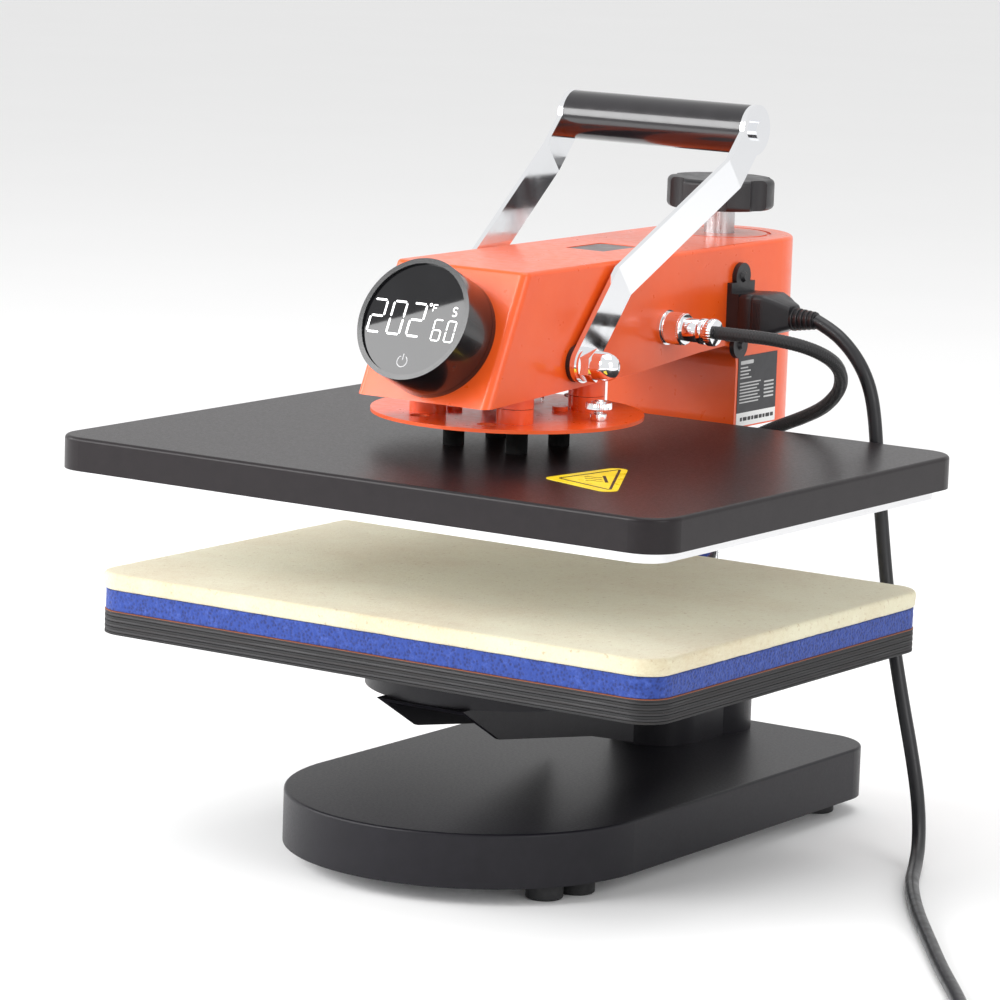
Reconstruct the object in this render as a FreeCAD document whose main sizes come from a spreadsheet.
"""Swing-away heat press with a flat platen, as an assembly of separate pieces.

Frame: millimetres, +Z up, X along the platen's long side, the user stands at -Y.
The origin is on the floor, at the middle of the press's own bounding box.
"""
import FreeCAD, Part
import math
import operator
import os

import Sketcher

from FreeCAD import Placement, Rotation, Vector

SIZES = [
    # alias, value, what it is
    ("foot_radius", 10.5, "rubber foot"),
    ("foot_tall", 9.8, "rubber foot"),
    ("foot_front_x", 84, "outer front foot"),
    ("foot_front_y", -95.7, "outer front foot"),
    ("foot_pair_dx", 6, "inner front foot, from the outer one"),
    ("foot_pair_dy", 22.5, "inner front foot, from the outer one"),
    ("foot_rear_y", 166, "rear feet"),
    ("base_wide", 214, "base casting"),
    ("base_nose_y", -74, "centre of the half-round nose"),
    ("base_rear_y", 198.6, "base rear face"),
    ("base_tall", 30.3, "base casting"),
    ("base_wall", 4, "base casting"),
    ("base_corner", 30, "rear corners in plan"),
    ("base_edge", 1.6, "rounded top edge"),
    ("cover_thick", 2, "base bottom cover"),
    ("base_boss", 6, "screw boss radius"),
    ("pillar_y", 166, "pillar axis"),
    ("pillar_radius", 20, "pillar tube"),
    ("pillar_bore", 15, "pillar tube, inside radius"),
    ("pillar_top", 318, "top of the tube"),
    ("socket_radius", 31.5, "socket round the pillar's foot"),
    ("socket_tall", 54.9, "socket and hub, base to arm web"),
    ("hub_half", 27, "hub block half width"),
    ("hub_front_y", 92, "hub front"),
    ("hub_round", 25, "hub front corners"),
    ("arm_half", 29, "lower arm channel, half width"),
    ("arm_wall", 3, "lower arm sheet"),
    ("arm_tip_y", -131, "lower arm front tip"),
    ("arm_bend_y", -93.5, "lower arm lower corner"),
    ("arm_bend_z", 76.6, "lower arm lower corner"),
    ("arm_mid_y", 1, "lower arm lower edge"),
    ("arm_mid_z", 63.4, "lower arm lower edge"),
    ("arm_end_y", 46, "lower arm wall end"),
    ("arm_end_z", 52.7, "lower arm wall end"),
    ("stand_y", -54, "centre of the drum, the mount disc and the cam"),
    ("drum_radius", 75, "drum under the board"),
    ("drum_tall", 23.5, "drum under the board"),
    ("drum_wall", 4, "drum wall and top"),
    ("board_wide", 372, "lower board"),
    ("board_deep", 288, "lower board"),
    ("board_y", -43, "lower board centre"),
    ("board_thick", 13.5, "plywood board"),
    ("sponge_thick", 11.7, "silicone sponge"),
    ("felt_thick", 10.1, "felt pad"),
    ("felt_over", 1, "felt edge beyond the board"),
    ("pad_corner", 17, "board and pad corners"),
    ("press_gap", 52.8, "felt to heating plate, platen up"),
    ("plate_margin", 8, "cover's edge beyond the heating plate"),
    ("plate_corner", 14, "heating plate corners"),
    ("plate_thick", 10, "heating plate"),
    ("lid_wide", 400, "platen cover"),
    ("lid_deep", 320, "platen cover"),
    ("lid_y", -50, "platen cover centre"),
    ("lid_corner", 20, "platen cover corners"),
    ("lid_lift", 6.2, "cover's rim above the heating plate's face"),
    ("lid_tall", 18.7, "platen cover"),
    ("lid_wall", 1.5, "platen cover sheet"),
    ("lid_edge", 2.2, "platen cover rounded top edge"),
    ("element_radius", 3, "tubular element"),
    ("disc_radius", 76.5, "mount disc"),
    ("disc_thick", 2, "mount disc"),
    ("disc_lift", 17.5, "cover to mount disc"),
    ("disc_hole", 5.5, "hole radius in the mount disc"),
    ("disc_hole_circle", 58, "circle of the holes"),
    ("standoff_circle", 30, "circle of the standoffs"),
    ("standoff_radius", 6, "standoff"),
    ("small_screw", 2, "M4 screw"),
    ("guide_dx", 29, "guide pins from the middle"),
    ("guide_dy", 36, "guide pins from the middle"),
    ("guide_radius", 5, "guide pin"),
    ("guide_top", 330, "guide pin top"),
    ("boss_radius", 10.3, "orange guide boss"),
    ("boss_tall", 8, "lower guide boss"),
    ("bush_radius", 8, "guide bush"),
    ("bush_top", 290, "guide bush top"),
    ("head_half", 44, "head half width and rear radius"),
    ("head_wall", 3, "head casting wall"),
    ("head_top", 338.7, "head top"),
    ("head_low_y", -139, "head front, bottom edge"),
    ("head_low_z", 267, "head front, bottom edge"),
    ("head_brow_y", -105, "head front, top edge"),
    ("head_mid_y", 13.5, "head lower edge"),
    ("head_mid_z", 273.6, "head lower edge"),
    ("head_arch_y", 78, "start of the arch"),
    ("head_arch_z", 279, "start of the arch"),
    ("leg_front_y", 118.5, "rear leg, front face"),
    ("leg_low_z", 230, "rear leg, bottom"),
    ("arch_round", 14, "arch corner"),
    ("head_edge", 2.5, "rounded edges of the head"),
    ("lip_tall", 2, "head bottom cover"),
    ("slot_half", 11, "cam slot half width"),
    ("ring_step", 0.8, "depth of the marks on the head's top"),
    ("ring_radius", 31, "recess round the knob's stem"),
    ("badge_wide", 26, "plain badge"),
    ("badge_deep", 38, "plain badge"),
    ("badge_y", 38, "plain badge centre"),
    ("sleeve_radius", 26, "height sleeve"),
    ("sleeve_low", 238, "height sleeve bottom"),
    ("sleeve_cap", 4, "height sleeve top"),
    ("sleeve_lift", 5, "sleeve cap above the pillar plug"),
    ("swing_wall", 4, "swing bush wall"),
    ("screw_radius", 6, "pressure screw"),
    ("screw_low", 262, "pressure screw end"),
    ("knob_low", 353.5, "knob underside"),
    ("knob_tall", 18, "knob"),
    ("knob_radius", 31.8, "knob"),
    ("knob_lobes", 7, "knob lobes"),
    ("lobe_radius", 9, "hollow between lobes"),
    ("stem_radius", 9, "knob stem"),
    ("axle_z", 285, "handle pivot"),
    ("axle_radius", 6, "handle pivot shaft"),
    ("roller_radius", 8, "cam roller"),
    ("roller_drop", 19, "roller centre below the pivot, platen up"),
    ("travel", 52.3, "platen travel"),
    ("throw_deg", 130, "handle throw"),
    ("cam_half", 6, "cam half thickness"),
    ("cheek_thick", 3.7, "clevis cheek"),
    ("strip_wide", 21, "handle strip"),
    ("strip_thick", 3, "handle strip"),
    ("strip_x", 47, "handle strip at the pivot, inner face"),
    ("strip_flare", 13.5, "outward flare up to the grip"),
    ("strip_bend_y", -15.3, "lower bend"),
    ("strip_bend_z", 328.1, "lower bend"),
    ("strip_turn_y", 76, "upper bend"),
    ("strip_turn_z", 383.4, "upper bend"),
    ("grip_y", 98.2, "grip axis"),
    ("grip_z", 407.3, "grip axis"),
    ("grip_radius", 14.2, "grip"),
    ("eye_radius", 14.5, "strip end at the grip"),
    ("dial_z", 301, "display drum on the face"),
    ("dial_radius", 35, "display drum"),
    ("dial_tall", 29, "display drum"),
    ("plug_y", 118, "mains inlet"),
    ("plug_z", 300, "mains inlet"),
    ("link_y", 39, "round connector"),
    ("link_z", 297, "round connector"),
    ("lead_radius", 4, "heater lead"),
    ("mains_radius", 4, "mains cord"),
    ("coil_radius", 44, "coil, middle of its turns"),
    ("run_gap", 0.3, "clearance between moving pieces"),
    ("fit_gap", 0.06, "running fit, radial"),
]


class Size(float):
    """A number that also carries the spreadsheet expression it comes from."""

    def __new__(cls, value, text=None):
        size = super().__new__(cls, value)
        size.text = text or repr(float(value))
        return size

    def __neg__(self):
        return Size(-float(self), f"(0 - {self.text})")


def text_of(number):
    return number.text if isinstance(number, Size) else repr(float(number))


def arithmetic(sign, rule):
    """One arithmetic rule on sizes, for a size on the left and for one on the right."""
    def left(one, other):
        return Size(rule(float(one), float(other)), f"({text_of(one)} {sign} {text_of(other)})")

    def right(one, other):
        return Size(rule(float(other), float(one)), f"({text_of(other)} {sign} {text_of(one)})")
    return left, right


Size.__add__, Size.__radd__ = arithmetic("+", operator.add)
Size.__sub__, Size.__rsub__ = arithmetic("-", operator.sub)
Size.__mul__, Size.__rmul__ = arithmetic("*", operator.mul)
Size.__truediv__, Size.__rtruediv__ = arithmetic("/", operator.truediv)

doc = FreeCAD.newDocument("heat_press")
sheet = doc.addObject("Spreadsheet::Sheet", "sizes")
for row, (alias, value, note) in enumerate(SIZES, start=1):
    sheet.set(f"A{row}", note)
    sheet.set(f"B{row}", str(value))
    sheet.setAlias(f"B{row}", alias)
doc.recompute()


class Sheet:
    """The sheet's cells as sizes."""

    def __getattr__(self, alias):
        return Size(sheet.get(alias), f"sizes.{alias}")


S = Sheet()
PIECES = []


# ---------------------------------------------------------------- small tools

def bind(thing, **links):
    for path, size in links.items():
        thing.setExpression(path, text_of(size))
    return thing


def turn_to(direction):
    return Rotation(Vector(0, 0, 1), Vector(*direction))


UP = (0, 0, 1)
RIGHT = (1, 0, 0)
BACK = (0, 1, 0)


def place(thing, x, y, z, direction=UP):
    thing.Placement = Placement(Vector(), turn_to(direction))
    for path, size in zip(("x", "y", "z"), (x, y, z)):
        thing.setExpression(f"Placement.Base.{path}", text_of(size))
    return thing


def piece(label, thing):
    """Names a finished sub-part."""
    thing.Label = label
    PIECES.append(thing)
    return thing


def block(name, wide, deep, tall, x, y, z):
    """A box centred on x and y that stands on z."""
    box = bind(doc.addObject("Part::Box", name), Length=wide, Width=deep, Height=tall)
    return place(box, x - wide / 2, y - deep / 2, z)


def rod(name, radius, length, x, y, z, direction=UP):
    bar = bind(doc.addObject("Part::Cylinder", name), Radius=radius, Height=length)
    return place(bar, x, y, z, direction)


def cone(name, radius, end_radius, length, x, y, z, direction=UP):
    taper = bind(doc.addObject("Part::Cone", name), Radius1=radius, Radius2=end_radius, Height=length)
    return place(taper, x, y, z, direction)


def joined(name, *things):
    if len(things) == 1:
        return things[0]
    whole = doc.addObject("Part::MultiFuse", name)
    whole.Shapes = list(things)
    return whole


def cut(name, base, *tools):
    rest = doc.addObject("Part::Cut", name)
    rest.Base = base
    rest.Tool = joined(name + "_tool", *tools)
    return rest


def group(name, *things):
    """Several separate solids in one node."""
    whole = doc.addObject("Part::Compound", name)
    whole.Links = list(things)
    return whole


def tube(name, radius, bore, length, x, y, z, direction=UP):
    return cut(name, rod(name + "_outer", radius, length, x, y, z, direction),
               rod(name + "_bore", bore, length, x, y, z, direction))


def rounded(name, thing, radius, test):
    """Fillets the edges of a finished shape that pass a test."""
    doc.recompute()
    edges = [i for i, edge in enumerate(thing.Shape.Edges, start=1) if test(edge)]
    if not edges:
        raise ValueError(f"{name}: no edge to round")
    fillet = doc.addObject("Part::Fillet", name)
    fillet.Base = thing
    fillet.Edges = [(i, float(radius), float(radius)) for i in edges]
    return fillet


def upright(edge):
    """True for a straight edge along Z."""
    ends = edge.Vertexes
    if len(ends) != 2 or edge.Curve.TypeId != "Part::GeomLine":
        return False
    return abs(ends[0].X - ends[1].X) + abs(ends[0].Y - ends[1].Y) < 1e-6


def at_height(z):
    """A test for edges that lie in one level plane."""
    return lambda edge: abs(edge.BoundBox.ZMin - z) + abs(edge.BoundBox.ZMax - z) < 1e-4


def plate(name, wide, deep, tall, corner, x, y, z):
    """A flat slab with rounded corners."""
    slab = block(name + "_slab", wide, deep, tall, x, y, z)
    return rounded(name, slab, corner, upright)


def loose(name, shape):
    """An object whose shape is worked out from the sizes by this script."""
    thing = doc.addObject("Part::Feature", name)
    where = shape.Placement
    thing.Shape = shape
    thing.Placement = where
    return thing


def solid_piece(label, shape):
    return piece(label, loose(label, shape))


def body_sketch(body, name, role, height=None):
    """A sketch on one of the body's own origin planes, lifted by a size if one is given."""
    sketch = body.newObject("Sketcher::SketchObject", name)
    plane = next(item for item in body.Origin.OriginFeatures if item.Role == role)
    sketch.AttachmentSupport = [(plane, "")]
    sketch.MapMode = "FlatFace"
    if height is not None:
        sketch.setExpression(".AttachmentOffset.Base.z", text_of(height))
    return sketch


def outline(sketch, corners):
    """A closed polygon whose corners are held by sizes."""
    points = [Vector(float(u), float(v), 0) for u, v in corners]
    count = len(points)
    for i in range(count):
        sketch.addGeometry(Part.LineSegment(points[i], points[(i + 1) % count]), False)
    for i in range(count):
        sketch.addConstraint(Sketcher.Constraint("Coincident", i, 2, (i + 1) % count, 1))
    for i, (u, v) in enumerate(corners):
        for kind, size in (("DistanceX", u), ("DistanceY", v)):
            index = sketch.addConstraint(Sketcher.Constraint(kind, -1, 1, i, 1, float(size)))
            sketch.setExpression(f"Constraints[{index}]", text_of(size))
    return sketch


def circle(sketch, u, v, radius):
    """A circle whose centre and radius are held by sizes."""
    centre = Vector(float(u), float(v), 0)
    ring = sketch.addGeometry(Part.Circle(centre, Vector(0, 0, 1), float(radius)), False)
    for kind, size in (("DistanceX", u), ("DistanceY", v)):
        index = sketch.addConstraint(Sketcher.Constraint(kind, -1, 1, ring, 3, float(size)))
        sketch.setExpression(f"Constraints[{index}]", text_of(size))
    index = sketch.addConstraint(Sketcher.Constraint("Radius", ring, float(radius)))
    sketch.setExpression(f"Constraints[{index}]", text_of(radius))
    return sketch


def pad(body, sketch, name, length, midplane=False):
    grown = body.newObject("PartDesign::Pad", name)
    grown.Profile = sketch
    grown.SideType = "Symmetric" if midplane else "One side"
    bind(grown, Length=length)
    return grown


def pocket(body, sketch, name, length, reversed_way=False, midplane=False):
    """A pocket that must take something away."""
    doc.recompute()
    before = body.Shape.Volume
    hole = body.newObject("PartDesign::Pocket", name)
    hole.Profile = sketch
    hole.SideType = "Symmetric" if midplane else "One side"
    hole.Reversed = reversed_way
    bind(hole, Length=length)
    doc.recompute()
    if body.Shape.Volume > before - 1:
        raise ValueError(f"{name} cuts nothing")
    return hole


def body_fillet(body, name, radius, test):
    """Fillets the body's edges that pass a test."""
    doc.recompute()
    tip = body.Tip
    names = [f"Edge{i}" for i, edge in enumerate(tip.Shape.Edges, start=1) if test(edge)]
    fillet = body.newObject("PartDesign::Fillet", name)
    fillet.Base = (tip, names)
    bind(fillet, Radius=radius)
    return fillet


def screws(label, spots, z, radius, length, head_radius, head_tall, head_down=False):
    """Round-headed screws; z is the face that the heads bear on."""
    things = []
    for i, (x, y) in enumerate(spots):
        shank_z = z if head_down else z - length
        head_z = z - head_tall if head_down else z
        shank = rod(f"{label}_shank_{i}", radius, length, x, y, shank_z)
        head = rod(f"{label}_head_{i}", head_radius, head_tall, x, y, head_z)
        things.append(joined(f"{label}_{i}", shank, head))
    return things


def around(radius, count, first_deg, centre_y):
    """Evenly spaced places on a circle about x = 0."""
    angles = [math.radians(first_deg + 360 * i / count) for i in range(count)]
    return [(radius * math.cos(a), centre_y + radius * math.sin(a)) for a in angles]


def corners_of(dx, dy, centre_y):
    return [(sx * dx, centre_y + sy * dy) for sx in (1, -1) for sy in (1, -1)]


# ---------------------------------------------------------------- heights

base_low = S.foot_tall
base_top = base_low + S.base_tall
web_low = base_top + S.socket_tall
web_top = web_low + S.arm_wall
board_low = web_top + S.drum_tall
sponge_low = board_low + S.board_thick
felt_low = sponge_low + S.sponge_thick
felt_top = felt_low + S.felt_thick
plate_low = felt_top + S.press_gap
lid_low = plate_low + S.lid_lift
lid_top = lid_low + S.lid_tall
disc_low = lid_top + S.disc_lift
disc_top = disc_low + S.disc_thick
GUIDES = corners_of(S.guide_dx, S.guide_dy, S.stand_y)


# ---------------------------------------------------------------- base

def d_plan(body, name, inset, height, depth, make):
    """The base's outline, half round in front, as a rectangle and a circle."""
    half = S.base_wide / 2 - inset
    rear = S.base_rear_y - inset
    box = body_sketch(body, name + "_box", "XY_Plane", height)
    outline(box, [(-half, S.base_nose_y), (half, S.base_nose_y), (half, rear), (-half, rear)])
    make(body, box, name + "_straight", depth)
    nose = circle(body_sketch(body, name + "_nose", "XY_Plane", height), Size(0), S.base_nose_y, half)
    make(body, nose, name + "_round", depth)


def rear_corner(inset):
    """A test for the two upright rear edges of the base's outline."""
    x = float(S.base_wide / 2 - inset)
    y = float(S.base_rear_y - inset)

    def test(edge):
        return upright(edge) and abs(abs(edge.Vertexes[0].X) - x) + abs(edge.Vertexes[0].Y - y) < 1e-3
    return test


def base_screw_spots():
    near = S.base_wide / 2 - S.base_wall - S.base_boss
    return [(near - 16, S.base_nose_y + 40), (16 - near, S.base_nose_y + 40),
            (near - 24, S.base_rear_y - 50), (24 - near, S.base_rear_y - 50),
            (Size(0), S.base_nose_y - near + 14)]


def make_base():
    body = doc.addObject("PartDesign::Body", "base_casting")
    d_plan(body, "base", Size(0), base_low, S.base_tall, pad)
    d_plan(body, "hollow", S.base_wall, base_low, S.base_tall - S.base_wall,
           lambda b, sketch, name, depth: pocket(b, sketch, name, depth, reversed_way=True))
    body_fillet(body, "base_rear_corners", S.base_corner, rear_corner(Size(0)))
    body_fillet(body, "hollow_rear_corners", S.base_corner - S.base_wall, rear_corner(S.base_wall))
    body_fillet(body, "base_top_edge", S.base_edge, at_height(base_top))
    bosses = body_sketch(body, "bosses", "XY_Plane", base_low + S.cover_thick)
    for x, y in base_screw_spots():
        circle(bosses, x, y, S.base_boss)
    pad(body, bosses, "base_bosses", S.base_tall - S.cover_thick - 1)
    threads = body_sketch(body, "threads", "XY_Plane", base_low)
    for x, y in base_screw_spots():
        circle(threads, x, y, S.small_screw)
    pocket(body, threads, "base_threads", S.base_tall - S.base_wall - 4, reversed_way=True)
    piece("base_casting", body)

    inset = S.base_wall + S.run_gap
    half = S.base_wide / 2 - inset
    cover_box = block("cover_box", half * 2, S.base_rear_y - inset - S.base_nose_y, S.cover_thick,
                      Size(0), (S.base_rear_y - inset + S.base_nose_y) / 2, base_low)
    rear_edges = rounded("cover_rear", cover_box, S.base_corner - inset, rear_corner(inset))
    cover_nose = rod("cover_nose", half, S.cover_thick, Size(0), S.base_nose_y, base_low)
    holes = [rod(f"cover_hole_{i}", S.small_screw, S.cover_thick, x, y, base_low)
             for i, (x, y) in enumerate(base_screw_spots())]
    piece("base_bottom_cover", cut("base_bottom_cover", joined("cover_plan", rear_edges, cover_nose), *holes))
    return screws("base_screws", base_screw_spots(), base_low, S.small_screw,
                  S.base_tall - S.base_wall - 6, S.small_screw * 2, Size(2.4), head_down=True)


def make_feet():
    inner_x = S.foot_front_x - S.foot_pair_dx
    inner_y = S.foot_front_y - S.foot_pair_dy
    spots = [(sign * x, y) for sign in (1, -1)
             for x, y in ((S.foot_front_x, S.foot_front_y), (inner_x, inner_y),
                          (S.foot_front_x, S.foot_rear_y))]
    feet = []
    for i, (x, y) in enumerate(spots):
        foot = rod(f"foot_{i}", S.foot_radius, S.foot_tall, x, y, Size(0))
        feet.append(rounded(f"foot_round_{i}", foot, 1.2, at_height(0)))
    piece("rubber_feet", group("rubber_feet", *feet))


# ---------------------------------------------------------------- stand

def make_stand():
    socket = tube("socket", S.socket_radius, S.pillar_radius, S.socket_tall, Size(0), S.pillar_y, base_top)
    piece("pillar_socket", socket)

    hub = doc.addObject("PartDesign::Body", "arm_hub")
    plan = body_sketch(hub, "hub_plan", "XY_Plane", base_top)
    outline(plan, [(-S.hub_half, S.hub_front_y), (S.hub_half, S.hub_front_y),
                   (S.hub_half, S.pillar_y), (-S.hub_half, S.pillar_y)])
    pad(hub, plan, "hub_block", S.socket_tall)
    seat = circle(body_sketch(hub, "hub_seat", "XY_Plane", base_top), Size(0), S.pillar_y, S.socket_radius)
    pocket(hub, seat, "hub_saddle", S.socket_tall, reversed_way=True)
    front = float(S.hub_front_y)
    body_fillet(hub, "hub_front", S.hub_round,
                lambda edge: upright(edge) and abs(edge.Vertexes[0].Y - front) < 1e-3)
    piece("arm_hub", hub)

    pillar = tube("pillar_tube", S.pillar_radius, S.pillar_bore, S.pillar_top - base_top,
                  Size(0), S.pillar_y, base_top)
    piece("pillar", pillar)
    collar_tall = S.arm_wall * 2
    collar = tube("pillar_collar", S.pillar_radius + 5, S.pillar_radius, collar_tall,
                  Size(0), S.pillar_y, web_top)
    plug = joined("plug_solid",
                  rod("plug_body", S.pillar_bore - S.fit_gap, Size(44), Size(0), S.pillar_y,
                      S.pillar_top - 44),
                  rod("plug_head", S.pillar_radius, Size(3), Size(0), S.pillar_y, S.pillar_top))
    thread = rod("plug_thread", S.screw_radius + S.fit_gap, Size(50), Size(0), S.pillar_y, S.pillar_top - 45)
    piece("pillar_fittings", group("pillar_fittings", collar, cut("pillar_plug", plug, thread)))


def make_arm():
    arm = doc.addObject("PartDesign::Body", "lower_arm")
    side = body_sketch(arm, "arm_side", "YZ_Plane")
    outline(side, [(S.arm_tip_y, web_top), (S.arm_bend_y, S.arm_bend_z), (S.arm_mid_y, S.arm_mid_z),
                   (S.arm_end_y, S.arm_end_z), (S.arm_end_y, web_top)])
    pad(arm, side, "arm_channel", S.arm_half * 2, midplane=True)
    hollow = body_sketch(arm, "arm_hollow", "YZ_Plane")
    outline(hollow, [(S.arm_tip_y - 5, web_low), (S.arm_tip_y - 5, S.arm_end_z - 5),
                     (S.arm_end_y + 5, S.arm_end_z - 5), (S.arm_end_y + 5, web_low)])
    pocket(arm, hollow, "arm_inside", (S.arm_half - S.arm_wall) * 2, midplane=True)
    web = body_sketch(arm, "arm_web", "XY_Plane", web_low)
    outline(web, [(-S.arm_half, S.arm_end_y - 6), (S.arm_half, S.arm_end_y - 6),
                  (S.arm_half, S.pillar_y), (-S.arm_half, S.pillar_y)])
    pad(arm, web, "arm_strap", S.arm_wall)
    pad(arm, circle(body_sketch(arm, "arm_ring", "XY_Plane", web_low), Size(0), S.pillar_y, S.arm_half),
        "arm_eye", S.arm_wall)
    hole = circle(body_sketch(arm, "arm_bore", "XY_Plane", web_low), Size(0), S.pillar_y, S.pillar_radius)
    pocket(arm, hole, "arm_pillar_hole", S.arm_wall, reversed_way=True)
    bolt_holes = body_sketch(arm, "arm_bolt_holes", "XY_Plane", web_low)
    for x, y in arm_bolt_spots():
        circle(bolt_holes, x, y, S.small_screw * 1.5)
    for x, y in drum_bolt_spots():
        circle(bolt_holes, x, y, S.small_screw * 1.5)
    pocket(arm, bolt_holes, "arm_holes", S.arm_wall, reversed_way=True)
    piece("lower_arm", arm)
    return drill_hub()


def arm_bolt_spots():
    return [(sx * S.hub_half / 2, S.hub_front_y + dy) for sx in (1, -1) for dy in (18, 38)]


def drum_bolt_spots():
    return corners_of(Size(12), Size(12), S.stand_y)


def drill_hub():
    """Threaded holes for the arm bolts, and the bolts."""
    hub = doc.getObject("arm_hub")
    threads = body_sketch(hub, "hub_threads", "XY_Plane", web_low - 22)
    for x, y in arm_bolt_spots():
        circle(threads, x, y, S.small_screw * 1.5)
    pocket(hub, threads, "hub_thread_holes", Size(22), reversed_way=True)
    return screws("arm_bolts", arm_bolt_spots(), web_top, S.small_screw * 1.5, Size(20), Size(5), Size(4))


def make_drum():
    shell = cut("drum_shell",
                rod("drum_outer", S.drum_radius, S.drum_tall, Size(0), S.stand_y, web_top),
                rod("drum_inner", S.drum_radius - S.drum_wall, S.drum_tall - S.drum_wall,
                    Size(0), S.stand_y, web_top))
    core = rod("drum_core", Size(22), S.drum_tall - S.drum_wall / 2, Size(0), S.stand_y, web_top)
    depth = S.drum_tall - S.drum_wall
    threads = [rod(f"drum_thread_{i}", S.small_screw * 1.5, depth, x, y, web_top)
               for i, (x, y) in enumerate(drum_bolt_spots())]
    board_holes = [rod(f"drum_hole_{i}", S.small_screw, S.drum_wall, x, y, board_low - S.drum_wall)
                   for i, (x, y) in enumerate(board_screw_spots())]
    piece("lower_drum", cut("lower_drum", joined("drum_solid", shell, core), *threads, *board_holes))
    bolts = screws("drum_bolts", drum_bolt_spots(), web_low, S.small_screw * 1.5, Size(18), Size(5), Size(4),
                   head_down=True)
    return bolts + screws("board_screws", board_screw_spots(), board_low - S.drum_wall, S.small_screw,
                          Size(14), S.small_screw * 2, Size(2.6), head_down=True)


def board_screw_spots():
    return around(S.drum_radius * 0.75, 4, 45, S.stand_y)


def make_lower_pads():
    board = plate("board", S.board_wide, S.board_deep, S.board_thick, S.pad_corner,
                  Size(0), S.board_y, board_low)
    holes = [rod(f"board_hole_{i}", S.small_screw, Size(10.5), x, y, board_low)
             for i, (x, y) in enumerate(board_screw_spots())]
    piece("lower_board", cut("lower_board", board, *holes))
    piece("sponge_pad", plate("sponge_pad", S.board_wide, S.board_deep, S.sponge_thick, S.pad_corner,
                              Size(0), S.board_y, sponge_low))
    piece("felt_pad", plate("felt_pad", S.board_wide + S.felt_over * 2, S.board_deep + S.felt_over * 2,
                            S.felt_thick, S.pad_corner, Size(0), S.board_y, felt_low))


# ---------------------------------------------------------------- platen

def make_platen():
    skin = plate("lid_skin", S.lid_wide, S.lid_deep, S.lid_tall, S.lid_corner, Size(0), S.lid_y, lid_low)
    skin = rounded("lid_round", skin, S.lid_edge, at_height(lid_top))
    room = plate("lid_room", S.lid_wide - S.lid_wall * 2, S.lid_deep - S.lid_wall * 2,
                 S.lid_tall - S.lid_wall, S.lid_corner - S.lid_wall, Size(0), S.lid_y, lid_low)
    gland_hole = rod("gland_hole", S.lead_radius, S.lid_wall, gland_x, lid_rear - S.lid_wall, gland_z, BACK)
    stand_holes = [rod(f"lid_hole_{i}", S.small_screw, S.lid_wall, x, y, lid_top - S.lid_wall)
                   for i, (x, y) in enumerate(standoff_spots())]
    piece("platen_cover", cut("platen_cover", skin, room, gland_hole, *stand_holes))

    piece("heating_plate", plate("heating_plate", plate_wide, plate_deep, S.plate_thick,
                                 S.plate_corner, Size(0), S.lid_y, plate_low))
    make_element()
    plate_top = plate_low + S.plate_thick
    wool_low = plate_top + S.element_radius * 2
    wool_tall = lid_top - S.lid_wall - wool_low
    piece("insulation_board", plate("insulation_board", plate_wide - 20, plate_deep - 20, wool_tall,
                                    S.plate_corner, Size(0), S.lid_y, wool_low))
    frame_outer = plate("frame_outer", plate_wide, plate_deep, S.element_radius * 2,
                        S.plate_corner, Size(0), S.lid_y, plate_top)
    frame_inner = plate("frame_inner", plate_wide - 16, plate_deep - 16, S.element_radius * 2,
                        S.plate_corner - 8, Size(0), S.lid_y, plate_top)
    piece("edge_spacer", cut("edge_spacer", frame_outer, frame_inner))


def make_element():
    """A tubular element bent into loops that lies on the heating plate."""
    reach_x = float(plate_wide) / 2 - 40
    reach_y = float(plate_deep) / 2 - 40
    turns = 5
    pitch = 2 * reach_y / turns
    z = float(plate_low + S.plate_thick + S.element_radius)
    mid_y = float(S.lid_y)
    edges = []
    for i in range(turns + 1):
        y = mid_y - reach_y + pitch * i
        side = 1 if i % 2 == 0 else -1
        start = Vector(-side * reach_x, y, z)
        end = Vector(side * reach_x, y, z)
        edges.append(Part.LineSegment(start, end).toShape())
        if i < turns:
            middle = Vector(side * (reach_x + pitch / 2), y + pitch / 2, z)
            edges.append(Part.Arc(end, middle, Vector(side * reach_x, y + pitch, z)).toShape())
    element = loose("element_tube", pipe(Part.Wire(edges), float(S.element_radius)))
    cutout = rod("thermostat", Size(8), S.element_radius * 2, Size(0), S.lid_y, z - S.element_radius)
    piece("heating_element", group("heating_element", element, cutout))


def pipe(path, radius):
    """A round tube along a path of straight runs and tangent arcs."""
    start = path.OrderedVertexes[0].Point
    heading = path.OrderedEdges[0].tangentAt(path.OrderedEdges[0].FirstParameter)
    if (path.OrderedEdges[0].valueAt(path.OrderedEdges[0].FirstParameter) - start).Length > 1e-6:
        heading = heading * -1
    ring = Part.Wire(Part.makeCircle(radius, start, heading))
    return path.makePipeShell([ring], True, False)


def standoff_spots():
    return around(S.standoff_circle, 4, 45, S.stand_y)


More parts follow.
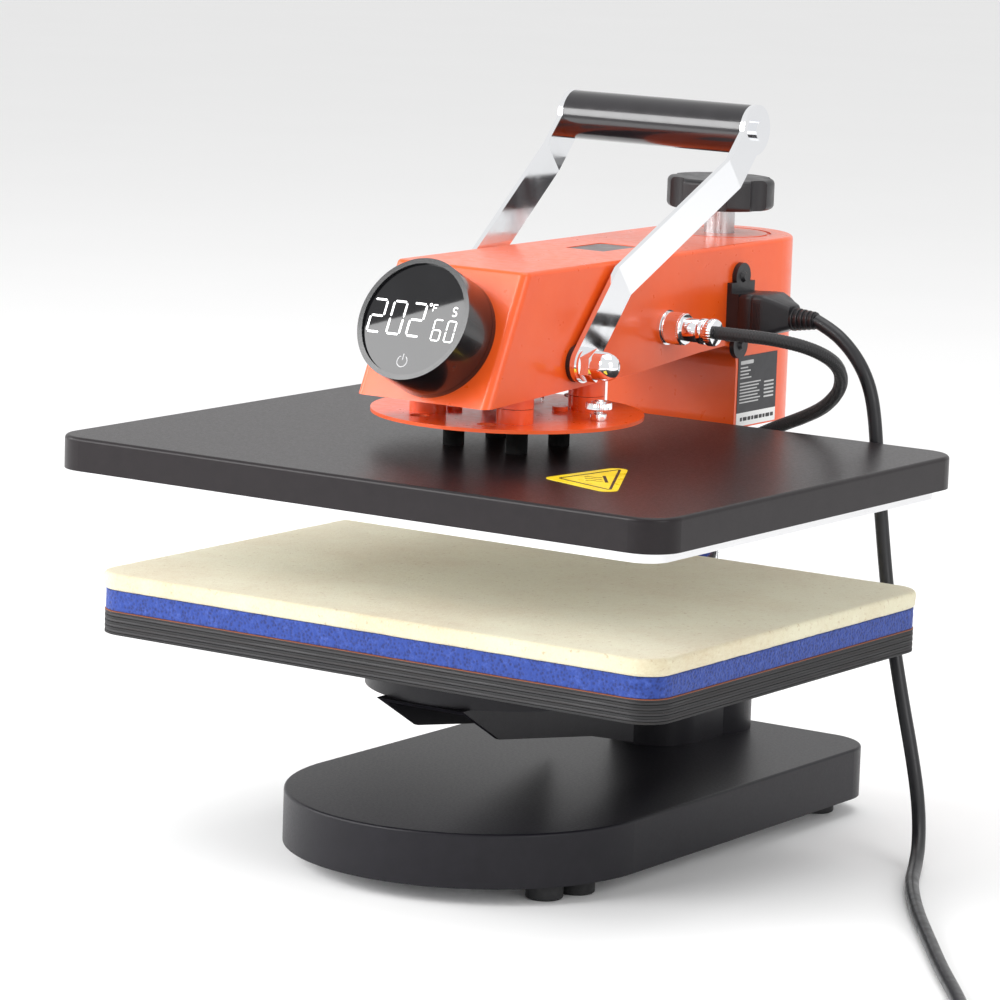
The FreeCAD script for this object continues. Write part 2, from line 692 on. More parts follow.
def make_disc():
    disc = rod("disc_blank", S.disc_radius, S.disc_thick, Size(0), S.stand_y, disc_low)
    holes = [rod(f"disc_hole_{i}", S.disc_hole, S.disc_thick, x, y, disc_low)
             for i, (x, y) in enumerate(disc_holes())]
    holes += [rod(f"disc_screw_hole_{i}", S.small_screw, S.disc_thick, x, y, disc_low)
              for i, (x, y) in enumerate(standoff_spots())]
    holes += [rod(f"disc_pin_hole_{i}", S.guide_radius, S.disc_thick, x, y, disc_low)
              for i, (x, y) in enumerate(GUIDES)]
    holes.append(rod("disc_stud_hole", stud_radius, S.disc_thick, stud_x, stud_y, disc_low))
    piece("mount_disc", cut("mount_disc", disc, *holes))
    stands = [tube(f"standoff_{i}", S.standoff_radius, S.small_screw, S.disc_lift, x, y, lid_top)
              for i, (x, y) in enumerate(standoff_spots())]
    piece("standoffs", group("standoffs", *stands))
    piece("disc_screws", group("disc_screws", *screws(
        "disc_screw", standoff_spots(), disc_top, S.small_screw,
        S.disc_thick + S.disc_lift + S.lid_wall, S.small_screw * 2.2, Size(2.4))))
    bosses = [tube(f"lower_boss_{i}", S.boss_radius, S.guide_radius, S.boss_tall, x, y, disc_top)
              for i, (x, y) in enumerate(GUIDES)]
    piece("lower_guide_bosses", group("lower_guide_bosses", *bosses))
    pins = [rod(f"guide_pin_{i}", S.guide_radius, S.guide_top - disc_low, x, y, disc_low)
            for i, (x, y) in enumerate(GUIDES)]
    piece("guide_pins", group("guide_pins", *pins))
    stud = rod("stud", stud_radius, Size(15), stud_x, stud_y, disc_low)
    lock = tube("stud_nut", Size(4.8), stud_radius, Size(3.5), stud_x, stud_y, disc_top)
    nut = tube("thumb_nut", Size(7.2), stud_radius, Size(4), stud_x, stud_y, disc_top + 6)
    piece("thumb_stud", group("thumb_stud", stud, lock, nut))


def disc_holes():
    """Open holes, spread over the part of the disc that the standoffs leave free."""
    spread = 22.5
    rise = math.sqrt(float(S.disc_hole_circle) ** 2 - spread ** 2)
    return [(Size(sx * spread), S.stand_y + sy * rise) for sx in (1, -1) for sy in (1, -1)]


def make_ram():
    """The clevis and roller that the cam pushes."""
    roller_z = S.axle_z - S.roller_drop
    inner = S.cam_half + 0.8
    foot_tall = Size(3)
    foot = block("ram_foot", (inner + S.cheek_thick) * 2, Size(18), foot_tall, Size(0), S.stand_y, disc_top)
    cheek_tall = roller_z + 4 - disc_top
    cheeks = [block(f"ram_cheek_{i}", S.cheek_thick, Size(13), cheek_tall,
                    sign * (inner + S.cheek_thick / 2), S.stand_y, disc_top)
              for i, sign in enumerate((1, -1))]
    pin_long = (inner + S.cheek_thick) * 2
    bore = rod("ram_bore", Size(3), pin_long, 0 - pin_long / 2, S.stand_y, roller_z, RIGHT)
    pin = rod("roller_pin", Size(3), pin_long, 0 - pin_long / 2, S.stand_y, roller_z, RIGHT)
    piece("ram_clevis", group("ram_clevis", cut("ram_body", joined("ram_solid", foot, *cheeks), bore), pin))
    wide = S.cam_half * 2
    piece("cam_roller", tube("cam_roller", S.roller_radius, Size(3), wide, 0 - S.cam_half, S.stand_y,
                             roller_z, RIGHT))


# ---------------------------------------------------------------- head

def head_section(wall):
    """The head seen from the side, drawn in by a wall, as y and z."""
    rise = S.head_top - S.head_low_z
    lean = (S.head_brow_y - S.head_low_y) / rise
    slant = float(lean)
    shift = wall * math.sqrt(1 + slant * slant)

    def front_y(z):
        return S.head_low_y + (z - S.head_low_z) * lean + shift
    return front_y


def bottom_line():
    """The head's lower edge from the front to the leg."""
    return [(S.head_low_y, S.head_low_z), (S.head_mid_y, S.head_mid_z), (S.head_arch_y, S.head_arch_z)]


def head_plan(name, inset, low, tall):
    """The head seen from above, drawn in by a wall: straight sides and a round rear."""
    half = S.head_half - inset
    front = S.head_low_y - 20
    box = block(name + "_box", half * 2, S.pillar_y - front, tall, Size(0), (S.pillar_y + front) / 2, low)
    rear = rod(name + "_rear", half, tall, Size(0), S.pillar_y, low)
    return joined(name, box, rear)


def side_prism(name, corners, half):
    body = doc.addObject("PartDesign::Body", name)
    outline(body_sketch(body, name + "_side", "YZ_Plane"), corners)
    pad(body, body.Group[-1], name + "_pad", half * 2, midplane=True)
    return body


def both(name, one, other):
    shared = doc.addObject("Part::MultiCommon", name)
    shared.Shapes = [one, other]
    return shared


def make_head():
    rear = S.pillar_y + S.head_half
    arch_top = S.head_arch_z + 2
    outer = side_prism("head_outer", [*bottom_line(), (S.leg_front_y, arch_top), (S.leg_front_y, S.leg_low_z),
                                      (rear, S.leg_low_z), (rear, S.head_top), (S.head_brow_y, S.head_top)],
                       S.head_half)
    plan = head_plan("head_plan_outer", Size(0), S.leg_low_z - 10, S.head_top - S.leg_low_z + 20)
    solid = both("head_solid", outer, plan)
    leg = float(S.leg_front_y)
    arch = float(arch_top)
    solid = rounded("head_arch", solid, S.arch_round,
                    lambda edge: abs(edge.BoundBox.YMin - leg) + abs(edge.BoundBox.YMax - leg)
                    + abs(edge.BoundBox.ZMin - arch) + abs(edge.BoundBox.ZMax - arch) < 1e-3)
    half = float(S.head_half)
    brow = float(S.head_brow_y)
    low = float(S.head_low_y)

    def front_side(edge):
        box = edge.BoundBox
        return (abs(abs(edge.CenterOfMass.x) - half) < 1e-3 and abs(box.YMin - low) < 1e-3
                and abs(box.YMax - brow) < 1e-3)
    solid = rounded("head_front", solid, S.head_edge * 2, front_side)
    solid = rounded("head_top_edge", solid, S.head_edge, at_height(S.head_top))

    wall = S.head_wall
    front_y = head_section(wall)
    ceiling = S.head_top - wall
    floor = S.head_low_z - 12
    hollow = side_prism("head_inner", [(front_y(floor), floor), (front_y(ceiling), ceiling),
                                       (rear - wall, ceiling), (rear - wall, S.leg_low_z - 5),
                                       (S.leg_front_y + wall, S.leg_low_z - 5),
                                       (S.leg_front_y + wall, arch_top + wall),
                                       (arch_shelf_y, arch_top + wall), (arch_shelf_y, floor)],
                        S.head_half - wall)
    room_plan = head_plan("head_plan_inner", wall, S.leg_low_z - 10, S.head_top - S.leg_low_z + 20)
    room = both("head_room", hollow, room_plan)

    side = S.head_half - wall
    reach = S.head_half * 2
    tools = [
        rod("head_stem_hole", S.stem_radius + S.fit_gap, wall + 2, Size(0), S.pillar_y, ceiling - 1),
        rod("head_axle_hole", axle_bush_radius, reach, 0 - S.head_half, S.stand_y, S.axle_z, RIGHT),
        block("head_inlet_hole", wall * 2, Size(24), Size(20), side + wall / 2, S.plug_y, S.plug_z - 10),
        rod("head_link_hole", Size(8), wall * 2, side - wall / 2, S.link_y, S.link_z, RIGHT),
        tube("head_ring_mark", S.ring_radius, S.ring_radius - 2.4, S.ring_step * 2, Size(0), S.pillar_y,
             S.head_top - S.ring_step),
        block("head_badge_seat", S.badge_wide, S.badge_deep, S.ring_step * 2, Size(0), S.badge_y,
              S.head_top - S.ring_step),
    ]
    piece("head_casting", cut("head_casting", solid, room, *tools))
    piece("top_badge", plate("top_badge", S.badge_wide - 1, S.badge_deep - 1, S.ring_step * 0.6, Size(2),
                             Size(0), S.badge_y, S.head_top - S.ring_step))


def make_head_cover():
    """The plate that closes the head from below, with its guide bosses and the cam slot."""
    front_y = head_section(S.head_wall + S.run_gap)
    lip = S.lip_tall
    (low_y, low_z), (mid_y, mid_z), (arch_y, arch_z) = bottom_line()
    end_y = arch_shelf_y - S.run_gap
    end_z = arch_z + 2 * (end_y - arch_y) / (S.leg_front_y - arch_y)
    sheet_body = side_prism("cover_sheet", [(front_y(low_z + 0.3), low_z + 0.3), (mid_y, mid_z),
                                            (arch_y, arch_z), (end_y, end_z), (end_y, end_z + lip),
                                            (arch_y, arch_z + lip), (mid_y, mid_z + lip),
                                            (front_y(low_z + 0.3 + lip), low_z + 0.3 + lip)],
                            S.head_half - S.head_wall - S.run_gap)
    boss_low = disc_top + S.boss_tall + S.run_gap
    boss_tall = S.head_mid_z + lip - boss_low
    bosses = [rod(f"upper_boss_{i}", S.boss_radius, boss_tall, x, y, boss_low)
              for i, (x, y) in enumerate(GUIDES)]
    deep = Size(60)
    holes = [rod(f"bush_hole_{i}", S.bush_radius, deep, x, y, boss_low - 10)
             for i, (x, y) in enumerate(GUIDES)]
    holes += [rod(f"spring_hole_{i}", spring_radius + 1.2, deep, x, y, boss_low - 10)
              for i, (x, y) in enumerate(spring_spots)]
    slot_front = S.stand_y - S.travel - S.roller_drop + S.roller_radius - 4
    slot_rear = S.stand_y + S.travel * 0.68
    slot = block("cam_slot", S.slot_half * 2, slot_rear - slot_front, deep, Size(0),
                 (slot_rear + slot_front) / 2, boss_low - 10)
    piece("head_bottom_cover", cut("head_bottom_cover", joined("cover_solid", sheet_body, *bosses),
                                   *holes, slot))
    return [tube(f"guide_bush_{i}", S.bush_radius, S.guide_radius + S.fit_gap, S.bush_top - boss_low,
                 x, y, boss_low) for i, (x, y) in enumerate(GUIDES)]


def make_swing():
    """The sleeve that carries the head up and down the pillar, and the bush it swings on."""
    sleeve_cap_low = S.pillar_top + 3 + S.sleeve_lift
    tall = sleeve_cap_low + S.sleeve_cap - S.sleeve_low
    sleeve = rod("sleeve_outer", S.sleeve_radius, tall, Size(0), S.pillar_y, S.sleeve_low)
    bore = rod("sleeve_bore", S.pillar_radius + S.fit_gap, sleeve_cap_low - S.sleeve_low,
               Size(0), S.pillar_y, S.sleeve_low)
    eye = rod("sleeve_eye", S.screw_radius + 0.1, S.sleeve_cap, Size(0), S.pillar_y, sleeve_cap_low)
    piece("height_sleeve", cut("height_sleeve", sleeve, bore, eye))
    bush_low = S.leg_low_z
    bush_top = S.head_top - S.head_wall
    ring = tube("swing_ring", S.sleeve_radius + S.fit_gap + S.swing_wall, S.sleeve_radius + S.fit_gap,
                bush_top - bush_low, Size(0), S.pillar_y, bush_low)
    piece("swing_bush", ring)
    leg_deep = S.head_half - S.head_wall
    floor_plate = rod("leg_plate", leg_deep - S.run_gap, S.lip_tall, Size(0), S.pillar_y, bush_low + 1)
    hole = rod("leg_plate_hole", S.sleeve_radius + S.fit_gap + S.swing_wall, S.lip_tall, Size(0),
               S.pillar_y, bush_low + 1)
    piece("leg_bottom_plate", cut("leg_bottom_plate", floor_plate, hole))


def lobed_knob():
    """A round knob with hollows between its lobes."""
    blank = rod("knob_blank", S.knob_radius, S.knob_tall, Size(0), S.pillar_y, S.knob_low)
    blank = rounded("knob_round", blank, 3, lambda edge: at_height(S.knob_low)(edge)
                    or at_height(S.knob_low + S.knob_tall)(edge))
    count = int(S.knob_lobes)
    centre = S.knob_radius + S.lobe_radius * 0.55
    hollows = [rod(f"knob_hollow_{i}", S.lobe_radius, S.knob_tall + 2, x, y, S.knob_low - 1)
               for i, (x, y) in enumerate(around(centre, count, -90 + 180 / count, S.pillar_y))]
    knob = cut("knob_cut", blank, *hollows)
    bore = rod("knob_bore", S.screw_radius, S.knob_tall - 4, Size(0), S.pillar_y, S.knob_low)
    piece("pressure_knob", cut("pressure_knob", knob, bore))


def make_screw():
    stem_low = S.head_top - S.head_wall + S.run_gap
    stem = tube("knob_stem", S.stem_radius, S.screw_radius, S.knob_low - stem_low, Size(0), S.pillar_y,
                stem_low)
    top = S.knob_low + S.knob_tall - 4
    screw = rod("screw_rod", S.screw_radius, top - S.screw_low, Size(0), S.pillar_y, S.screw_low)
    piece("pressure_screw", group("pressure_screw", stem, screw))


# ---------------------------------------------------------------- handle

def cam_outline():
    """The lift curve: the roller's centre goes down evenly as the cam turns."""
    throw = math.radians(float(S.throw_deg))
    rate = float(S.travel) / throw
    first = float(S.roller_drop)
    offset = float(S.roller_radius + S.run_gap)
    steps = 14
    points = []
    for i in range(steps + 1):
        angle = throw * i / steps
        reach = first + rate * angle
        outward = Vector(0, -math.sin(angle), -math.cos(angle))
        along = Vector(0, -math.cos(angle), math.sin(angle))
        normal = (outward * reach - along * rate).normalize()
        points.append(outward * reach - normal * offset)
    return points


def make_cam():
    points = cam_outline()
    centre = Vector(0, float(S.stand_y), float(S.axle_z))
    half = float(S.cam_half)
    shift = centre - Vector(half, 0, 0)
    rest_gap = float(S.roller_radius + S.run_gap)
    roller = Vector(0, 0, -float(S.roller_drop))
    hub = float(S.roller_drop) - rest_gap
    hub_point = Vector(0, 0, -hub)
    toe = (hub_point - roller) + (points[0] - roller)
    toe_point = roller + toe.normalize() * rest_gap
    curve = Part.BSplineCurve()
    curve.interpolate([shift + p for p in points])
    tip = points[-1]
    spin = Rotation(Vector(1, 0, 0), -14)
    nose_end = spin.multVec(tip) * 0.93
    nose_mid = Rotation(Vector(1, 0, 0), -8).multVec(tip) * 1.0
    heel = Rotation(Vector(1, 0, 0), -95).multVec(tip).normalize() * hub * 0.9
    edges = [curve.toShape(),
             Part.Arc(shift + tip, shift + nose_mid, shift + nose_end).toShape(),
             Part.LineSegment(shift + nose_end, shift + heel).toShape(),
             Part.LineSegment(shift + heel, shift + hub_point).toShape(),
             Part.Arc(shift + hub_point, shift + toe_point, shift + points[0]).toShape()]
    lobe = Part.Face(Part.Wire(edges)).extrude(Vector(2 * half, 0, 0))
    boss = Part.makeCylinder(hub, 2 * half, shift, Vector(1, 0, 0))
    bore = Part.makeCylinder(float(S.axle_radius), 2 * half, shift, Vector(1, 0, 0))
    solid_piece("lift_cam", lobe.fuse(boss).cut(bore).removeSplitter())


def strip_points():
    return [(S.stand_y, S.axle_z), (S.strip_bend_y, S.strip_bend_z), (S.strip_turn_y, S.strip_turn_z),
            (S.grip_y, S.grip_z)]


def strip_shape(side):
    """A flat strip bent in its own plane and flared outwards, with an eye at each end."""
    spots = [Vector(0, float(y), float(z)) for y, z in strip_points()]
    headings = [(b - a).normalize() for a, b in zip(spots, spots[1:])]
    half = float(S.strip_wide) / 2
    thick = float(S.strip_thick)
    near = float(S.strip_x)
    inner = [near, near, near + float(S.strip_flare), near + float(S.strip_flare)]
    rings = []
    for i, spot in enumerate(spots):
        before = headings[max(i - 1, 0)]
        after = headings[min(i, len(headings) - 1)]
        middle = (before + after).normalize()
        across = Vector(0, -middle.z, middle.y)
        reach = half / across.dot(Vector(0, -before.z, before.y))
        corners = [spot + across * reach, spot - across * reach]
        x0 = side * inner[i]
        x1 = side * (inner[i] + thick)
        ring = [Vector(x0, corners[0].y, corners[0].z), Vector(x1, corners[0].y, corners[0].z),
                Vector(x1, corners[1].y, corners[1].z), Vector(x0, corners[1].y, corners[1].z)]
        rings.append(Part.makePolygon(ring + [ring[0]]))
    strip = Part.makeLoft(rings, True, True)
    out = Vector(side, 0, 0)
    pivot = spots[0] + out * inner[0]
    grip = spots[-1] + out * inner[-1]
    strip = strip.fuse(Part.makeCylinder(half, thick, pivot, out))
    strip = strip.fuse(Part.makeCylinder(float(S.eye_radius), thick, grip, out))
    strip = strip.cut(Part.makeCylinder(float(S.axle_radius), thick, pivot, out))
    strip = strip.cut(Part.makeCylinder(float(S.small_screw * 1.5), thick, grip, out))
    return strip.removeSplitter()


def outboard(name, radius, bore, start, length, y, z):
    """A ring on each side of the head, from an x of start outwards."""
    return [tube(name + "_right", radius, bore, length, start, y, z, RIGHT),
            tube(name + "_left", radius, bore, length, 0 - start - length, y, z, RIGHT)]


def hexagon(name, radius, start, length, y, z):
    """A hexagonal nut along X."""
    prism = doc.addObject("Part::Prism", name)
    prism.Polygon = 6
    bind(prism, Circumradius=radius, Height=length)
    place(prism, start, y, z, RIGHT)
    return cut(name + "_nut", prism, rod(name + "_bore", S.axle_radius, length, start, y, z, RIGHT))


def make_handle():
    y, z = S.stand_y, S.axle_z
    outer = S.strip_x + S.strip_thick
    reach = outer + 14
    piece("pivot_shaft", rod("pivot_shaft", S.axle_radius, reach * 2, 0 - reach, y, z, RIGHT))
    make_cam()
    solid_piece("handle_arm_right", strip_shape(1))
    solid_piece("handle_arm_left", strip_shape(-1))
    gap = S.head_half + S.run_gap
    spacers = outboard("nylon_washer", Size(10.5), S.axle_radius, gap, S.strip_x - gap, y, z)
    piece("nylon_washers", group("nylon_washers", *spacers))
    washers = outboard("steel_washers", Size(9.5), S.axle_radius, outer, Size(2), y, z)
    hexes = [hexagon("hex_right", Size(9.5), outer + 2, Size(6), y, z),
             hexagon("hex_left", Size(9.5), 0 - outer - 8, Size(6), y, z)]
    caps = []
    for side in (1, -1):
        cap = Part.makeCylinder(8, 6, Vector(side * float(outer + 8), float(y), float(z)), Vector(side, 0, 0))
        dome = Part.makeSphere(8, Vector(side * float(outer + 14), float(y), float(z)),
                               Vector(side, 0, 0), 0, 90, 360)
        bore = Part.makeCylinder(float(S.axle_radius), 6, Vector(side * float(outer + 8), float(y), float(z)),
                                 Vector(side, 0, 0))
        caps.append(loose("acorn_nut", cap.fuse(dome).cut(bore).removeSplitter()))

    grip_half = S.strip_x + S.strip_flare
    grip = rod("grip_bar", S.grip_radius, grip_half * 2, 0 - grip_half, S.grip_y, S.grip_z, RIGHT)
    deep = Size(22)
    ends = [rod("grip_bore_right", S.small_screw * 1.5, deep, grip_half - deep, S.grip_y, S.grip_z, RIGHT),
            rod("grip_bore_left", S.small_screw * 1.5, deep, 0 - grip_half, S.grip_y, S.grip_z, RIGHT)]
    piece("grip", cut("grip", grip, *ends))
    heads = []
    face = grip_half + S.strip_thick
    for i, side in enumerate((1, -1)):
        shank_x = grip_half - 20 if side > 0 else 0 - face
        shank = rod(f"grip_screw_shank_{i}", S.small_screw * 1.5, S.strip_thick + 20, shank_x,
                    S.grip_y, S.grip_z, RIGHT)
        head_x = face if side > 0 else 0 - face - 3
        head = rod(f"grip_screw_head_{i}", Size(6), Size(3), head_x, S.grip_y, S.grip_z, RIGHT)
        heads.append(joined(f"grip_screw_{i}", shank, head))
    piece("handle_fasteners", group("handle_fasteners", *washers, *hexes, *caps, *heads))


def make_head_fittings(guide_bushes):
    """Bushes and springs that stay with the head."""
    wall = S.head_wall
    axle_bushes = outboard("axle_bush", axle_bush_radius, S.axle_radius + S.fit_gap,
                           S.head_half - wall - 5, wall + 5, S.stand_y, S.axle_z)
    piece("bronze_bushes", group("bronze_bushes", *guide_bushes, *axle_bushes))
    coils = []
    for x, y in spring_spots:
        turns = 11
        tall = float(S.head_top - S.head_wall - disc_top)
        wire = 0.7
        helix = Part.makeHelix((tall - 2 * wire) / turns, tall - 2 * wire, float(spring_radius) - wire)
        start = Vector(float(spring_radius) - wire, 0, 0)
        ring = Part.Wire(Part.makeCircle(wire, start, Vector(0, 1, 0)))
        coil = Part.Wire(helix.Edges).makePipeShell([ring], True, True)
        coil.translate(Vector(float(x), float(y), float(disc_top) + wire))
        coils.append(coil)
    solid_piece("return_springs", Part.makeCompound(coils))


def make_electronics():
    low = Size(290)
    board_x = Size(-6)
    board = block("circuit_board", Size(62), Size(58), Size(1.6), board_x, Size(64), low)
    spots = [(board_x + sx * 27, Size(64) + sy * 25) for sx in (1, -1) for sy in (1, -1)]
    stand_radius = Size(3)
    stands = []
    for i, (x, y) in enumerate(spots):
        base = cover_top_at(y + stand_radius)
        stands.append(rod(f"board_stand_{i}", stand_radius, low - base, x, y, base))
    relay = block("relay", Size(16), Size(28), Size(18), board_x + 18, Size(70), low + 1.6)
    coil = block("transformer", Size(28), Size(30), Size(22), board_x - 14, Size(70), low + 1.6)
    piece("control_board", group("control_board", board, relay, coil, *stands))


def cover_top_at(y):
    """Top of the head's bottom cover at a place behind its middle corner."""
    (low_y, low_z), (mid_y, mid_z), (arch_y, arch_z) = bottom_line()
    if float(y) < float(arch_y):
        return mid_z + (arch_z - mid_z) * (y - mid_y) / (arch_y - mid_y) + S.lip_tall
    return arch_z + 2 * (y - arch_y) / (S.leg_front_y - arch_y) + S.lip_tall


# ---------------------------------------------------------------- display drum

face_run = S.head_brow_y - S.head_low_y
face_rise = S.head_top - S.head_low_z
face_long = math.hypot(face_run, face_rise)
FACE = (0, -float(face_rise) / face_long, float(face_run) / face_long)


def on_face(distance):
    """A place on the display's axis, measured out from the head's front face."""
    face_y = S.head_low_y + (S.dial_z - S.head_low_z) * face_run / face_rise
    return Size(0), face_y + distance * FACE[1], S.dial_z + distance * FACE[2]


def make_display():
    housing = S.dial_radius - 3
    lip = Size(3.5)
    foot = cut("dial_foot", rod("dial_foot_disc", S.dial_radius, lip, *on_face(Size(0)), FACE),
               rod("dial_foot_bore", housing - 3, lip, *on_face(Size(0)), FACE))
    wall = cut("dial_wall", rod("dial_wall_outer", housing, S.dial_tall - 4, *on_face(Size(0)), FACE),
               rod("dial_wall_bore", housing - 3, S.dial_tall - 4, *on_face(Size(0)), FACE))
    piece("display_housing", joined("display_housing", foot, wall))
    board = rod("display_board", housing - 3, Size(1.6), *on_face(S.dial_tall - 12), FACE)
    lens = rod("display_lens", housing, Size(2.4), *on_face(S.dial_tall - 4), FACE)
    piece("display_module", group("display_module", board, lens))
    ring = cut("dial_blank", rod("dial_ring_outer", S.dial_radius, S.dial_tall - lip - S.run_gap,
                                 *on_face(lip + S.run_gap), FACE),
               rod("dial_ring_bore", housing + 0.1, S.dial_tall, *on_face(Size(0)), FACE))
    piece("dial_ring", ring)


# ---------------------------------------------------------------- mains and heater leads

def rounded_path(points):
    """Straight runs joined by tangent arcs, each as large as its two runs allow."""
    spots = [Vector(*p) for p in points]
    edges = []
    radii = []
    here = spots[0]
    for i in range(1, len(spots) - 1):
        back = spots[i - 1] - spots[i]
        ahead = spots[i + 1] - spots[i]
        trim = 0.45 * min(back.Length, ahead.Length)
        turn = math.pi - back.getAngle(ahead)
        radii.append(trim / math.tan(turn / 2))
        start = spots[i] + back.normalize() * trim
        end = spots[i] + ahead.normalize() * trim
        inward = (back + ahead).normalize()
        middle = spots[i] + inward * (radii[-1] * (1 / math.cos(turn / 2) - 1))
        edges.append(Part.LineSegment(here, start).toShape())
        edges.append(Part.Arc(start, middle, end).toShape())
        here = end
    edges.append(Part.LineSegment(here, spots[-1]).toShape())
    return Part.Wire(edges), radii


def cord(label, points, radius):
    path, radii = rounded_path(points)
    shape = pipe(path, radius)
    section = math.pi * radius * radius
    print(f"{label}: {path.Length:.0f} mm, radii " + " ".join(f"{r:.0f}" for r in radii)
          + f", volume {shape.Volume / (section * path.Length):.4f} of section x length")
    return solid_piece(label, shape)


MAINS_ROUTE = [
    (96.5, 118, 299), (107.5, 118, 294.6), (119, 118, 286), (128.5, 118, 275), (135, 118, 261.5),
    (138.5, 118, 245), (141, 118, 223), (145, 118, 194), (150, 117.5, 161), (158, 114, 126),
    (170, 108, 90), (182, 102, 58), (192, 94, 33), (201, 80, 14), (210, 60, 5.5),
    (222, 34, 4.3), (241, 2, 4.3), (266, -36, 4.3), (295, -77, 4.3), (326, -121, 4.3),
    (358, -163, 4.3), (390, -209, 4.3), (418, -257, 4.3),
]
LEAD_ROUTE = [
    (78, 39, 297), (92, 39.5, 297), (112, 44, 296.5), (129, 59, 291.5), (134, 81, 281),
    (124, 104, 265), (105, 120, 250), (85, 129, 240.5), (68, 131.5, 233.5), (56, 129, 227.5),
    (50.5, 121.5, 223.5), (50.5, 114.3, 223.5),
]


def make_mains():
    x = S.head_half
    y, z = S.plug_y, S.plug_z
    flange = joined("inlet_solid",
                    block("inlet_flange", Size(3), Size(26), Size(34), x + 1.5, y, z - 17),
                    rod("inlet_ear_top", Size(8), Size(3), x, y, z + 20, RIGHT),
                    rod("inlet_ear_low", Size(8), Size(3), x, y, z - 20, RIGHT),
                    block("inlet_body", Size(21), Size(24), Size(20), x - 10.5, y, z - 10),
                    block("inlet_rim", Size(8), Size(26), Size(22), x + 4, y, z - 11))
    ear_holes = [rod("inlet_hole_top", S.small_screw * 0.75, Size(4), x - 0.5, y, z + 20, RIGHT),
                 rod("inlet_hole_low", S.small_screw * 0.75, Size(4), x - 0.5, y, z - 20, RIGHT),
                 block("inlet_socket", Size(18), Size(20), Size(16), x, y, z - 8)]
    inlet = cut("inlet_moulding", flange, *ear_holes)
    heads = []
    for i, dz in enumerate((20, -20)):
        heads.append(cone(f"inlet_screw_{i}", Size(3.4), Size(2), Size(1.8), x + 3, y, z + dz, RIGHT))
    piece("mains_inlet", group("mains_inlet", inlet, *heads))

    nose = block("plug_nose", Size(16), Size(19), Size(15), x + 1, y, z - 7.5)
    profile = [(8, 27, 23), (16, 28, 24), (30, 22, 20), (38, 14, 14)]
    rings = []
    for dx, wide, tall in profile:
        px = float(x) + dx
        corners = [Vector(px, float(y) + sy * wide / 2, float(z) + sz * tall / 2)
                   for sy, sz in ((-1, -1), (1, -1), (1, 1), (-1, 1))]
        rings.append(Part.makePolygon(corners + [corners[0]]))
    shell = Part.makeLoft(rings, True, True)
    doc.recompute()
    start = Vector(float(x) + 38, float(y), float(z) - 0.6)
    end = Vector(*MAINS_ROUTE[0])
    heading = end - start
    relief = Part.makeCone(7, 5, heading.Length, start, heading)
    solid_piece("mains_plug", shell.fuse([nose.Shape, relief]).removeSplitter())

    cord("mains_cord", MAINS_ROUTE, float(S.mains_radius))
    make_coil()


def coil_centre():
    """The coil lies beside the cord's last run, which enters it along its rim."""
    last = Vector(*MAINS_ROUTE[-1])
    run = (last - Vector(*MAINS_ROUTE[-2])).normalize()
    side = Vector(-run.y, run.x, 0)
    return last + side * float(S.coil_radius), run


def make_coil():
    centre, run = coil_centre()
    wide = float(S.mains_radius) * 2
    outer = float(S.coil_radius) + wide
    inner = float(S.coil_radius) - wide
    floor = Vector(centre.x, centre.y, 0.3)
    ring = Part.makeCylinder(outer, 2 * wide, floor).cut(Part.makeCylinder(inner, 2 * wide, floor))
    ring = ring.makeFillet(wide / 2, [edge for edge in ring.Edges if edge.Closed])
    solid_piece("cord_coil", ring)
    tie_at = centre + run * float(S.coil_radius)
    outer_band = Part.makeBox(12, 2 * wide + 6, 2 * wide + 2.4, Vector(-6, -wide - 3, 0))
    inner_band = Part.makeBox(14, 2 * wide + 1.2, 2 * wide, Vector(-7, -wide - 0.6, 0.3))
    band = outer_band.cut(inner_band)
    angle = math.degrees(math.atan2(run.y, run.x)) + 90
    band.rotate(Vector(), Vector(0, 0, 1), angle)
    band.translate(Vector(tie_at.x, tie_at.y, 0))
    solid_piece("coil_tie", band)
    make_wall_plug(centre, run, outer)


def make_wall_plug(centre, run, outer):
    """A two-pin plug with an earth pin, lying on the floor beside the coil."""
    place_at = centre - run * (outer + 22) + Vector(-run.y, run.x, 0) * 10
    body = Part.makeBox(32, 25, 20, Vector(-16, -12.5, 0.3))
    body = body.makeFillet(4, [edge for edge in body.Edges if abs(edge.tangentAt(0).x) > 0.9])
    pins = [Part.makeBox(17, 1.5, 6.3, Vector(16, sy * 6.35 - 0.75, 9)) for sy in (1, -1)]
    earth = Part.makeCylinder(2.4, 20, Vector(16, 0, 5), Vector(1, 0, 0))
    neck = Part.makeCone(7, 5, 24, Vector(-16, 0, 9), Vector(-1, 0, 0))
    plug = Part.makeCompound([body.fuse(neck).removeSplitter(), *pins, earth])
    plug.rotate(Vector(), Vector(0, 0, 1), math.degrees(math.atan2(-run.x, run.y)))
    plug.translate(Vector(place_at.x, place_at.y, 0))
    solid_piece("wall_plug", plug)


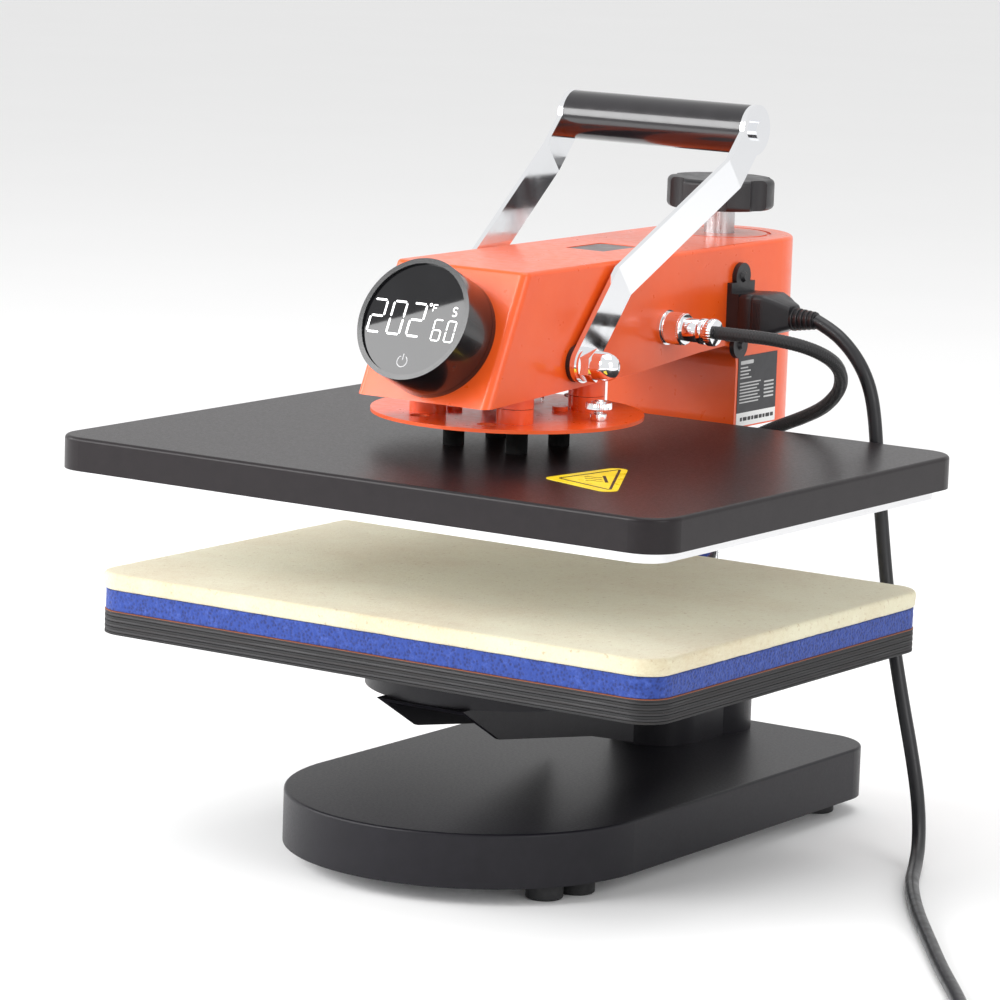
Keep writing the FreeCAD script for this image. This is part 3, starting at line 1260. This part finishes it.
def make_heater_lead():
    x = S.head_half
    y, z = S.link_y, S.link_z
    socket = joined("link_socket_solid",
                    rod("link_thread", Size(8), Size(16), x - 8, y, z, RIGHT),
                    rod("link_flange", Size(10), Size(2), x, y, z, RIGHT))
    piece("lead_socket", socket)
    ring_start = x + 8
    nut = tube("lead_nut", Size(9.2), Size(8), Size(6), x + 2, y, z, RIGHT)
    shell_end = MAINS_LINK_END - ring_start
    backshell = joined("backshell_solid",
                       rod("backshell_body", Size(6.5), shell_end - 3, ring_start, y, z, RIGHT),
                       rod("backshell_collar", Size(9.2), Size(6), ring_start, y, z, RIGHT),
                       rod("backshell_step", Size(7.6), Size(3), ring_start + 16, y, z, RIGHT),
                       rod("backshell_end", Size(8), Size(5), MAINS_LINK_END - 5, y, z, RIGHT))
    piece("lead_plug", group("lead_plug", nut, backshell))
    cord("heater_lead", LEAD_ROUTE, float(S.lead_radius))
    end = Vector(*LEAD_ROUTE[-1])
    tall = end.y - float(lid_rear) - float(S.run_gap)
    gland = Part.makeCylinder(7, tall, Vector(end.x, float(lid_rear), end.z), Vector(0, 1, 0))
    solid_piece("lead_gland", gland)


def make_stickers():
    """A plain rating plate on the head and a plain hot-surface warning on the cover."""
    plate_tall = Size(33.3)
    low = Size(239)
    band = block("rating_panel", Size(0.3), Size(44), plate_tall, S.head_half + 0.15, Size(143), low)
    strip = block("rating_strip", Size(0.3), Size(44), Size(8), S.head_half + 0.15, Size(143), low - 8)
    piece("rating_label", joined("rating_label", band, strip))
    z = float(lid_top)
    corners = [Vector(80, -138, z), Vector(91, -68, z), Vector(138.5, -156.5, z)]
    outline_wire = Part.makePolygon(corners + [corners[0]])
    sticker = Part.Face(outline_wire).extrude(Vector(0, 0, 0.25))
    edges = [edge for edge in sticker.Edges if upright(edge)]
    solid_piece("hot_surface_sticker", sticker.makeFillet(6, edges))


# ---------------------------------------------------------------- shared places

plate_wide = S.lid_wide - S.plate_margin * 2
plate_deep = S.lid_deep - S.plate_margin * 2
lid_rear = S.lid_y + S.lid_deep / 2
gland_x = Size(50.5)
gland_z = Size(223.5)
stud_radius = Size(3)
stud_x = Size(56.6)
stud_y = Size(-48)
spring_radius = Size(4.5)
spring_spots = [(Size(12), S.stand_y + 47), (Size(-12), S.stand_y + 47)]
arch_shelf_y = S.leg_front_y - 18.5
axle_bush_radius = S.axle_radius + 3
MAINS_LINK_END = Size(78)


def main():
    stand_screws = make_base()
    make_feet()
    make_stand()
    stand_screws += make_arm()
    stand_screws += make_drum()
    piece("stand_screws", group("stand_screws", *stand_screws))
    make_lower_pads()
    make_platen()
    make_disc()
    make_ram()
    make_head()
    guide_bushes = make_head_cover()
    make_swing()
    lobed_knob()
    make_screw()
    make_handle()
    make_head_fittings(guide_bushes)
    make_electronics()
    make_display()
    make_mains()
    make_heater_lead()
    make_stickers()
    doc.recompute()
    for thing in doc.Objects:
        if any(word in ("Invalid", "Error") for word in thing.State):
            raise ValueError(f"{thing.Label} failed: {thing.State}")
    for thing in PIECES:
        if thing.Shape.isNull() or not thing.Shape.isValid():
            raise ValueError(f"{thing.Label} has no valid shape")
    os.makedirs("parts", exist_ok=True)
    for thing in PIECES:
        thing.Shape.exportStep(f"parts/{thing.Label}.step")
    print(f"{len(PIECES)} sub-parts written")


main()
